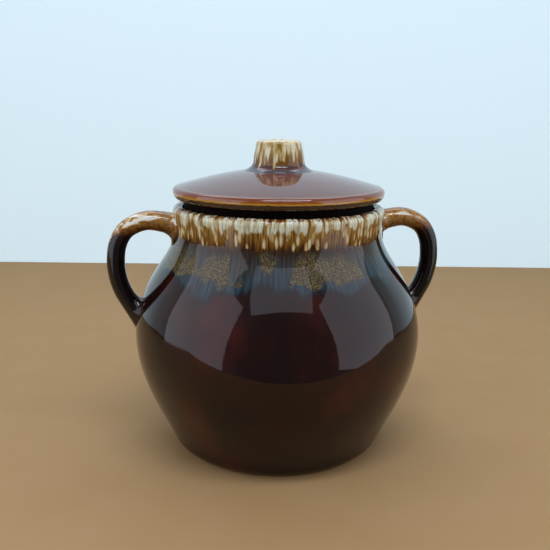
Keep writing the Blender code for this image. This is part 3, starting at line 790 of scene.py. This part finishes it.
def poured_amount(tree, place, height):
    """How much cream lies on this spot of a handle."""
    side = add(tree, "ShaderNodeSeparateXYZ", {0: place}).outputs["X"]
    normal = add(tree, "ShaderNodeNewGeometry").outputs["Normal"]
    upward = add(tree, "ShaderNodeSeparateXYZ", {0: normal}).outputs["Z"]
    long = add(tree, "ShaderNodeVectorMath", {0: place, 1: POOL_STRETCH}, operation="MULTIPLY")
    ragged = {"Vector": long, "Scale": 1 / (4 * MM), "Detail": 5.0, "Roughness": 0.6}
    pool = add(tree, "ShaderNodeTexNoise", ragged)
    bias = add(tree, "ShaderNodeMath", {0: side, 1: -0.4, 2: pool}, operation="MULTIPLY_ADD")
    lobe = [(0.0, "#000000"), (0.2, "#8c8c8c"), (0.45, "#ffffff"), (0.75, "#a0a0a0"), (1.0, "#303030")]
    slant = add(tree, "ShaderNodeValToRGB", {0: upward}, lobe).outputs["Color"]
    raised = add(tree, "ShaderNodeMath", {0: slant, 1: 0.24, 2: bias}, operation="MULTIPLY_ADD")
    pour = {"Value": height, "From Min": POUR_LOW[0], "From Max": POUR_LOW[1], "To Min": -0.3, "To Max": 0.0}
    top = add(tree, "ShaderNodeMapRange", pour)
    return add(tree, "ShaderNodeMath", {0: raised, 1: top}, operation="ADD")


def make_handle_glaze():
    """Cream glaze poured on the tops of the handles, with sharp ochre margins, over nearly black brown."""
    material, tree, shader, place, height = new_material("cream glaze over black brown", 0.05, 1.5)
    clouds = add(tree, "ShaderNodeTexNoise", {"Vector": place, "Scale": 1 / (10 * MM), "Detail": 3.0})
    level = wandered(tree, height, clouds.outputs[0], 9)
    climb = {"Value": level, "From Min": HANDLE_COLOURS[0], "From Max": HANDLE_COLOURS[1]}
    share = add(tree, "ShaderNodeMapRange", climb)
    stops = [(0.1, "#170b08"), (0.3, "#2b160d"), (0.38, "#63380f")]
    stops += [(0.55, "#97662a"), (0.8, "#b08745"), (1.0, "#a37442")]
    colour = add(tree, "ShaderNodeValToRGB", {0: share}, stops)
    fine = add(tree, "ShaderNodeTexNoise", {"Vector": place, "Scale": 1 / (2 * MM), "Detail": 2.0})
    colour = toned(tree, colour, fine, [(0.38, "#a37c56"), (0.5, "#e6dccb"), (0.62, "#ffffff")], 0.7)
    amount = poured_amount(tree, place, height)
    stops = [(0.0, "#8a5a22"), (0.35, "#b98a44"), (0.5, "#d9cba0"), (0.62, "#e9e6d2"), (1.0, "#f1f2e8")]
    spread = add(tree, "ShaderNodeMapRange", {"Value": amount, "From Min": 0.53, "From Max": 0.76})
    cream = add(tree, "ShaderNodeValToRGB", {0: spread}, stops)
    cover = add(tree, "ShaderNodeMapRange", {"Value": amount, "From Min": 0.51, "From Max": 0.63})
    colour = add(tree, "ShaderNodeMix", {0: cover, 6: colour, 7: cream}, data_type="RGBA").outputs[2]
    tree.links.new(colour, shader.inputs["Base Color"])
    rippled(tree, shader, place, 14, 1.0, 0.4, 0.3)
    return material


handle_glaze = make_handle_glaze()
print(handle_glaze.name, len(handle_glaze.node_tree.nodes), "nodes")

# %% [markdown]
# ## Turned pieces
# Now the half sections can be turned. Each becomes a line of points, the tree turns it, and the result is kept
# as a plain mesh, so nothing has to be worked out again later. A closed skin whose faces look outwards holds a
# positive volume, so the volumes printed here are a check too. The pot gets the most steps round, because its
# belly is the longest smooth outline in the picture.

# %% Turning the pieces
DRIP_HEIGHT = 0.22 * MM


def tree_piece(name, line, tree, values, attributes=None):
    """Runs a tree on a line of points in millimetres and keeps the result as a plain mesh."""
    mesh = bpy.data.meshes.new(name + " line")
    points = [(p[0] * MM, 0, p[1] * MM) if len(p) == 2 else tuple(c * MM for c in p) for p in line]
    mesh.from_pydata(points, [(i, i + 1) for i in range(len(points) - 1)], [])
    for label, numbers in (attributes or {}).items():
        mesh.attributes.new(label, "FLOAT", "POINT").data.foreach_set("value", numbers)
    piece = bpy.data.objects.new(name, mesh)
    modifier = piece.modifiers.new("shape", "NODES")
    modifier.node_group = tree
    for item in tree.interface.items_tree:
        if item.in_out == "INPUT" and item.name in values:
            modifier[item.identifier] = values[item.name]
    bpy.context.scene.collection.objects.link(piece)
    evaluated = piece.evaluated_get(bpy.context.evaluated_depsgraph_get())
    result = bpy.data.meshes.new_from_object(evaluated)
    piece.modifiers.clear()
    piece.data = result
    result.name = name
    result.calc_loop_triangles()
    volume = sum(f.area * f.normal.dot(f.center) for f in result.polygons) / 3
    print(name, len(result.loop_triangles), "triangles", round(volume * 1e6, 1), "ml of clay")
    return piece


def turned(name, section, steps, material, drip_height=0.0):
    """A piece turned from its half section in this many steps round the axis."""
    values = {"Steps Round": steps, "Drip Height": drip_height, "Material": material}
    return tree_piece(name, section, turning, values)


# Sections are turned from the top of the piece downwards, so that the faces look outwards.
turning = make_turning_tree()
pot = turned("glazed_pot", pot_section[::-1], 384, pot_glaze, DRIP_HEIGHT)
lid = turned("glazed_lid", lid_section, 256, lid_glaze)
ring = turned("lid_seat", ring_section, 192, shade_black_clay)
knob = turned("glazed_knob", knob_section[::-1], 160, knob_glaze)

# %% [markdown]
# ## Handles
# A potter pulls each handle from a lump, bends it, and lutes both ends to the wall with a little extra clay.
# The handle's middle follows one smooth line, which starts inside the collar, bends out and down, and ends
# inside the shoulder. The handle is thickest where it leaves the collar and thinnest at its grip.

# %% The handle's line
HANDLE_THICKNESS = 10.3
HANDLE_WIDTH = 12.5
HANDLE_TOP = 133.85
HANDLE_GRIP = 93.75
HANDLE_ROOT = (82.5, 79.5)
HANDLE_SINK = 12  # how far each end runs on into the wall
HANDLE_STEPS = 130
# Points of the line, as shares of its way out from the neck and of its way down to the root.
LINE_SHARES = (
    (0.02, 0.05), (0.17, 0.02), (0.44, 0.0), (0.67, 0.04), (0.85, 0.12),
    (0.965, 0.26), (1.0, 0.43), (0.98, 0.58), (0.91, 0.73), (0.8, 0.86),
)  # fmt: skip


def handle_line(sink, steps):
    """A smooth line through the handle's middle, whose ends run a little way into the wall."""
    out, down = HANDLE_GRIP - NECK[0], HANDLE_TOP - HANDLE_ROOT[1]
    points = [Vector((NECK[0] + out * a, HANDLE_TOP - down * b)) for a, b in LINE_SHARES]
    points.append(Vector(HANDLE_ROOT))
    points.insert(0, points[0] + (points[0] - points[1]).normalized() * sink)
    points.append(points[-1] + (points[-1] - points[-2]).normalized() * sink)
    padded = [2 * points[0] - points[1], *points, 2 * points[-1] - points[-2]]
    line = []
    for i in range(steps + 1):
        place = i / steps * (len(points) - 1)
        k = min(int(place), len(points) - 2)
        t = place - k
        a, b, c, d = padded[k : k + 4]
        bent = 2 * b + (c - a) * t + (2 * a - 5 * b + 4 * c - d) * t * t + (3 * b - a - 3 * c + d) * t**3
        line.append(bent / 2)
    return line


def handle_swell(share):
    """How much thicker the handle is here than at its grip; it flares at both ends."""
    top = 0.4 * max(0, 1 - share / 0.45) ** 2
    root = 0.15 * max(0, 1 - (1 - share) / 0.2) ** 2
    return top + root


path = handle_line(HANDLE_SINK, HANDLE_STEPS)
print("handle line runs from", [round(c, 1) for c in path[0]], "to", [round(c, 1) for c in path[-1]])

# %% [markdown]
# Where a handle meets the wall, the potter smooths the extra clay into a soft fillet. Here the handle's surface
# swells along its normals as it nears the pot, along a quarter circle, so it flows into the wall without a
# seam. What would reach through the wall is cut off inside it, where nobody can see the cut.

# %% Fillet and cut
FILLET_REACH = 5 * MM
# It fades out towards the lip and below the root, where the handle leaves the wall at a slant. Each pair is the
# height in millimetres where there is no fillet and the one where all of it is there.
FILLET_ENDS = ((139, 131), (75, 84))
CUT_WELD = 0.02 * MM  # closer points along the cut are one


def filleted(tree, body, wall, reach):
    """The body swollen outwards near the wall, along a quarter circle of this reach, and fully inside it."""
    clay = add(tree, "GeometryNodeObjectInfo", {"Object": wall}, transform_space="RELATIVE").outputs["Geometry"]
    nearest = add(tree, "GeometryNodeProximity", {0: clay}, target_element="FACES")
    own = add(tree, "GeometryNodeInputPosition")
    radii = {0: axis_distance(tree, own), 1: axis_distance(tree, nearest.outputs["Position"])}
    outside = add(tree, "ShaderNodeMath", radii, operation="GREATER_THAN")
    gap = add(tree, "ShaderNodeMath", {0: nearest.outputs["Distance"], 1: outside}, operation="MULTIPLY")
    share = add(tree, "ShaderNodeMath", {0: gap, 1: reach}, operation="DIVIDE")
    depth = add(tree, "ShaderNodeMath", {0: 1, 1: share}, operation="SUBTRACT", use_clamp=True)
    square = add(tree, "ShaderNodeMath", {0: depth, 1: depth}, operation="MULTIPLY")
    rest = add(tree, "ShaderNodeMath", {0: 1, 1: square}, operation="SUBTRACT", use_clamp=True)
    fall = add(tree, "ShaderNodeMath", {0: rest}, operation="SQRT")
    rise = add(tree, "ShaderNodeMath", {0: 1, 1: fall}, operation="SUBTRACT")
    height = add(tree, "ShaderNodeMath", {0: rise, 1: reach}, operation="MULTIPLY")
    level = add(tree, "ShaderNodeSeparateXYZ", {0: own}).outputs["Z"]
    for bare, full in FILLET_ENDS:
        ends = {"Value": level, "From Min": bare * MM, "From Max": full * MM}
        fade = add(tree, "ShaderNodeMapRange", ends, interpolation_type="SMOOTHSTEP")
        height = add(tree, "ShaderNodeMath", {0: height, 1: fade}, operation="MULTIPLY")
    normal = add(tree, "GeometryNodeInputNormal")
    lift = add(tree, "ShaderNodeVectorMath", {0: normal, "Scale": height}, operation="SCALE")
    return add(tree, "GeometryNodeSetPosition", {"Geometry": body, "Offset": lift})


def trimmed(tree, body, core):
    """The body without what reaches deeper into the pot's wall than the core's surface."""
    clay = add(tree, "GeometryNodeObjectInfo", {"Object": core}, transform_space="RELATIVE").outputs["Geometry"]
    both = {"Mesh 1": body, "Mesh 2": clay}
    cut = add(tree, "GeometryNodeMeshBoolean", both, operation="DIFFERENCE", solver="EXACT")
    return add(tree, "GeometryNodeMergeByDistance", {"Geometry": cut, "Distance": CUT_WELD})


print("fillets reach", FILLET_REACH / MM, "mm from the wall")

# %% [markdown]
# The handle itself is an oval swept along its line. A second tree does that much as the first one turns a
# section: each grid point looks up its point of the line, and the points before and after it tell which way is
# out. The oval's thickness and width come from two attributes, so both can swell along the line.

# %% Sweeping tree
def make_sweeping_tree():
    """The tree that sweeps an oval along a line in the XZ plane and fillets it against the pot."""
    inputs = [("Sides", "NodeSocketInt"), ("Thickness", "NodeSocketFloat"), ("Width", "NodeSocketFloat")]
    inputs += [("Fillet", "NodeSocketFloat"), ("Wall", "NodeSocketObject"), ("Core", "NodeSocketObject")]
    inputs += [("Material", "NodeSocketMaterial")]
    tree, given, output = new_tree("sweep a handle", inputs)
    grid, row, angle = make_grid(tree, given["Geometry"], given["Sides"])
    place = add(tree, "GeometryNodeInputPosition")
    looked_up = []
    for step in (-1, 0, 1):
        near = add(tree, "ShaderNodeMath", {0: row, 1: step}, operation="ADD")
        found = {"Geometry": given["Geometry"], "Value": place, "Index": near}
        looked_up.append(add(tree, "GeometryNodeSampleIndex", found, data_type="FLOAT_VECTOR", clamp=True))
    before, middle, after = looked_up
    run = add(tree, "ShaderNodeVectorMath", {0: after, 1: before}, operation="SUBTRACT")
    sideways = add(tree, "ShaderNodeVectorMath", {0: run, 1: (0, 1, 0)}, operation="CROSS_PRODUCT")
    outwards = add(tree, "ShaderNodeVectorMath", {0: sideways}, operation="NORMALIZE")
    offsets = []
    for label, size, wave in (("thick", "Thickness", "COSINE"), ("wide", "Width", "SINE")):
        named = add(tree, "GeometryNodeInputNamedAttribute", {"Name": label}, data_type="FLOAT")
        found = {"Geometry": given["Geometry"], "Value": named, "Index": row}
        swell = add(tree, "GeometryNodeSampleIndex", found, data_type="FLOAT", clamp=True)
        full = add(tree, "ShaderNodeMath", {0: swell, 1: given[size]}, operation="MULTIPLY")
        half = add(tree, "ShaderNodeMath", {0: full, 1: 0.5}, operation="MULTIPLY")
        turn = add(tree, "ShaderNodeMath", {0: angle}, operation=wave)
        offsets.append(add(tree, "ShaderNodeMath", {0: half, 1: turn}, operation="MULTIPLY"))
    thick = add(tree, "ShaderNodeVectorMath", {0: outwards, "Scale": offsets[0]}, operation="SCALE")
    wide = add(tree, "ShaderNodeCombineXYZ", {"Y": offsets[1]})
    oval = add(tree, "ShaderNodeVectorMath", {0: thick, 1: wide}, operation="ADD")
    swept = add(tree, "ShaderNodeVectorMath", {0: middle, 1: oval}, operation="ADD")
    body = add(tree, "GeometryNodeSetPosition", {"Geometry": grid, "Position": swept})
    closed = add(tree, "GeometryNodeMergeByDistance", {"Geometry": body, "Distance": WELD})
    swollen = filleted(tree, closed, given["Wall"], given["Fillet"])
    finish_tree(tree, trimmed(tree, swollen, given["Core"]), output)
    return tree


sweeping = make_sweeping_tree()
print(sweeping.name, len(sweeping.nodes), "nodes")

# %% [markdown]
# The right handle is made first. Both of its ends are cut off 2.5 mm inside the wall, so nothing of it shows in
# the mouth. The shape that cuts them is the pot's own outline, moved inwards and turned.

# %% Right handle
HANDLE_SIDES = 64
WIDTH_SWELL = 0.6  # the width swells less than the thickness, by this share
CUT_DEPTH = 2.5
CORE_FOOT = 40
CORE_TOP = 150


def make_right_handle(core):
    """The handle at +X, swept along its line, run into the pot's wall and cut off at the core."""
    shares = [i / (len(path) - 1) for i in range(len(path))]
    thick = [1 + handle_swell(s) for s in shares]
    wide = [1 + (s - 1) * WIDTH_SWELL for s in thick]
    # Both ends are drawn together to a point, which closes them.
    line = [(p.x, p.y) for p in (path[0], *path, path[-1])]
    attributes = {"thick": [0, *thick, 0], "wide": [0, *wide, 0]}
    values = {
        "Sides": HANDLE_SIDES,
        "Thickness": HANDLE_THICKNESS * MM,
        "Width": HANDLE_WIDTH * MM,
        "Fillet": FILLET_REACH,
        "Wall": pot,
        "Core": core,
        "Material": handle_glaze,
    }
    return tree_piece("glazed_right_handle", line, sweeping, values, attributes)


outline = inset(lower_wall + upper_wall + collar, CUT_DEPTH)
core_section = [(0, CORE_FOOT)] + [p for p in outline if p[1] > CORE_FOOT][::3]
core_section += [(LIP_RADIUS - CUT_DEPTH, CORE_TOP), (0, CORE_TOP)]
core = turned("wall core", core_section[::-1], 180, shade_black_clay)
right_handle = make_right_handle(core)
bpy.data.objects.remove(core)

# %% [markdown]
# The other handle is the same lump of clay pulled the other way round, so its skin is the first one's mirror
# image.

# %% Left handle
left_handle = bpy.data.objects.new("glazed_left_handle", right_handle.data.copy())
left_handle.data.name = "glazed_left_handle"
left_handle.data.transform(Matrix.Diagonal((-1, 1, 1, 1)))
left_handle.data.flip_normals()
bpy.context.scene.collection.objects.link(left_handle)
print(left_handle.name, len(left_handle.data.polygons), "faces")

# %% [markdown]
# ## Placing the pieces
# Each skin stands in for the solid that it covers and rides on the same body, so the lid lifts with its knob.

# %% Riding and replacing
for piece, body, slot, nodes in (
    (pot, "pot", "pot_glaze", ["pot_body"]),
    (right_handle, "pot", "handle_glaze", ["right_handle"]),
    (left_handle, "pot", "handle_glaze", ["left_handle"]),
    (lid, "lid", "lid_glaze", ["lid_dome"]),
    (ring, "lid", "lid_glaze", ["lid_seat_ring"]),
    (knob, "lid", "knob_glaze", ["lid_knob"]),
):
    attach(piece, body)
    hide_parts(*nodes)
    print(piece.name, "rides on", body, "for", nodes)

# %% [markdown]
# ## Stage and light
# The pot stands on a plain pale table in front of a pale wall. Both are matt paint with a little light of their
# own, which stands in for the light that a whole room throws back. The table ends close in front of the pot, as
# the reflection in its belly shows.

# %% Stage
SHEET_REACH = 1.6  # how far the sheets reach to either side
TABLE_FRONT = -0.21
TABLE_BACK = 1.0
WALL_DISTANCE = 0.48
WALL_HEIGHT = 1.1
MOTTLE = 0.05  # how strongly the paint is mottled


def make_sheet(name, corners, material):
    """A flat four-cornered sheet."""
    mesh = bpy.data.meshes.new(name)
    mesh.from_pydata(corners, [], [(0, 1, 2, 3)])
    mesh.materials.append(material)
    sheet = bpy.data.objects.new(name, mesh)
    bpy.context.scene.collection.objects.link(sheet)
    return sheet


def make_paint(name, hex_colour, glow):
    """Matt paint that the camera, reflections and glass see with this much light of its own."""
    material, tree, shader, place, _ = new_material(name, 0.8, 1.45)
    paint = linear(hex_colour)
    mottle = add(tree, "ShaderNodeTexNoise", {"Vector": place, "Scale": 1 / (40 * MM), "Detail": 4.0})
    light = {0: mottle, 6: paint, 7: (1, 1, 1, 1)}
    light = add(tree, "ShaderNodeMix", light, data_type="RGBA").outputs[2]
    colour = add(tree, "ShaderNodeMix", {0: MOTTLE, 6: paint, 7: light}, data_type="RGBA").outputs[2]
    tree.links.new(colour, shader.inputs["Base Color"])
    rays = add(tree, "ShaderNodeLightPath").outputs
    seen = add(tree, "ShaderNodeMath", {0: rays["Is Camera Ray"], 1: rays["Is Glossy Ray"]}, operation="ADD")
    through = {0: seen, 1: rays["Is Transmission Ray"]}
    seen = add(tree, "ShaderNodeMath", through, operation="ADD", use_clamp=True)
    strength = add(tree, "ShaderNodeMath", {0: seen, 1: glow}, operation="MULTIPLY")
    tree.links.new(colour, shader.inputs["Emission Color"])
    tree.links.new(strength.outputs[0], shader.inputs["Emission Strength"])
    return material


table_paint = make_paint("warm matt table paint", "#ac8a58", 0.03)
front = [(-SHEET_REACH, TABLE_FRONT, 0), (SHEET_REACH, TABLE_FRONT, 0)]
back = [(SHEET_REACH, TABLE_BACK, 0), (-SHEET_REACH, TABLE_BACK, 0)]
table = make_sheet("table", front + back, table_paint)
wall_paint = make_paint("pale blue matt wall paint", "#cfe7f0", 0.44)
# The wall stands square to the camera's line of sight, so its foot lies level in the picture.
ahead = Vector((-camera.location.x, -camera.location.y, 0)).normalized()
across, base = Vector((ahead.y, -ahead.x, 0)) * SHEET_REACH, ahead * WALL_DISTANCE
up = Vector((0, 0, WALL_HEIGHT))
wall = make_sheet("wall", [base - across, base + across, base + across + up, base - across + up], wall_paint)
print("stage:", table.name, wall.name)

# %% [markdown]
# Glossy glaze shows the lights more than it shows itself. Two large soft panels left and right of the camera
# give the broad pale reflections on the belly, and the darker gap between them is the camera's own place. A
# brighter lamp over the table draws the highlights on the lid's edge and the knob, and the room grows darker
# behind the camera.

# %% Light
LIGHT_AIM = (0, 0, 0.09)
# Each panel is (name, place, width, height, radiance); a radiance of 1 would show as plain white.
PANELS = (
    ("left window", (-0.84, -0.22, 0.30), 0.95, 1.1, 1.15),
    ("right window", (0.78, -0.42, 0.30), 0.95, 1.1, 1.15),
    ("ceiling light", (0, 0.40, 0.78), 0.9, 0.3, 2.5),
    ("shaded lamp", (-0.05, -0.52, 0.62), 0.6, 0.16, 1.0),
    ("lamp over the table", (0.02, -0.34, 0.80), 0.5, 0.1, 14),
)
ROOM_DIM = 0.15  # the room's light behind the camera
ROOM_BRIGHT = 0.64  # and in front of it


def make_panel(name, place, width, height, radiance):
    """A soft light panel that faces the pot."""
    light = bpy.data.lights.new(name, "AREA")
    light.shape = "RECTANGLE"
    light.color = linear("#f0f0ff")[:3]
    light.size, light.size_y = width, height
    light.energy = radiance * math.pi * width * height
    panel = bpy.data.objects.new(name, light)
    panel.location = place
    panel.rotation_euler = (Vector(LIGHT_AIM) - Vector(place)).to_track_quat("-Z", "Y").to_euler()
    panel.visible_camera = False
    bpy.context.scene.collection.objects.link(panel)


def make_room():
    """A pale room all round, which grows darker behind the camera."""
    world = bpy.data.worlds.new("soft room")
    world.use_nodes = True
    bpy.context.scene.world = world
    tree = world.node_tree
    background = tree.nodes["Background"]
    background.inputs["Color"].default_value = linear("#eef2f5")
    direction = add(tree, "ShaderNodeTexCoord").outputs["Generated"]
    facing = add(tree, "ShaderNodeSeparateXYZ", {0: direction}).outputs["Y"]
    dimming = {"Value": facing, "From Min": -0.85, "From Max": 0.6, "To Min": ROOM_DIM, "To Max": ROOM_BRIGHT}
    tree.links.new(add(tree, "ShaderNodeMapRange", dimming).outputs[0], background.inputs["Strength"])


for panel in PANELS:
    make_panel(*panel)
make_room()
bpy.context.scene.view_settings.view_transform = "Standard"
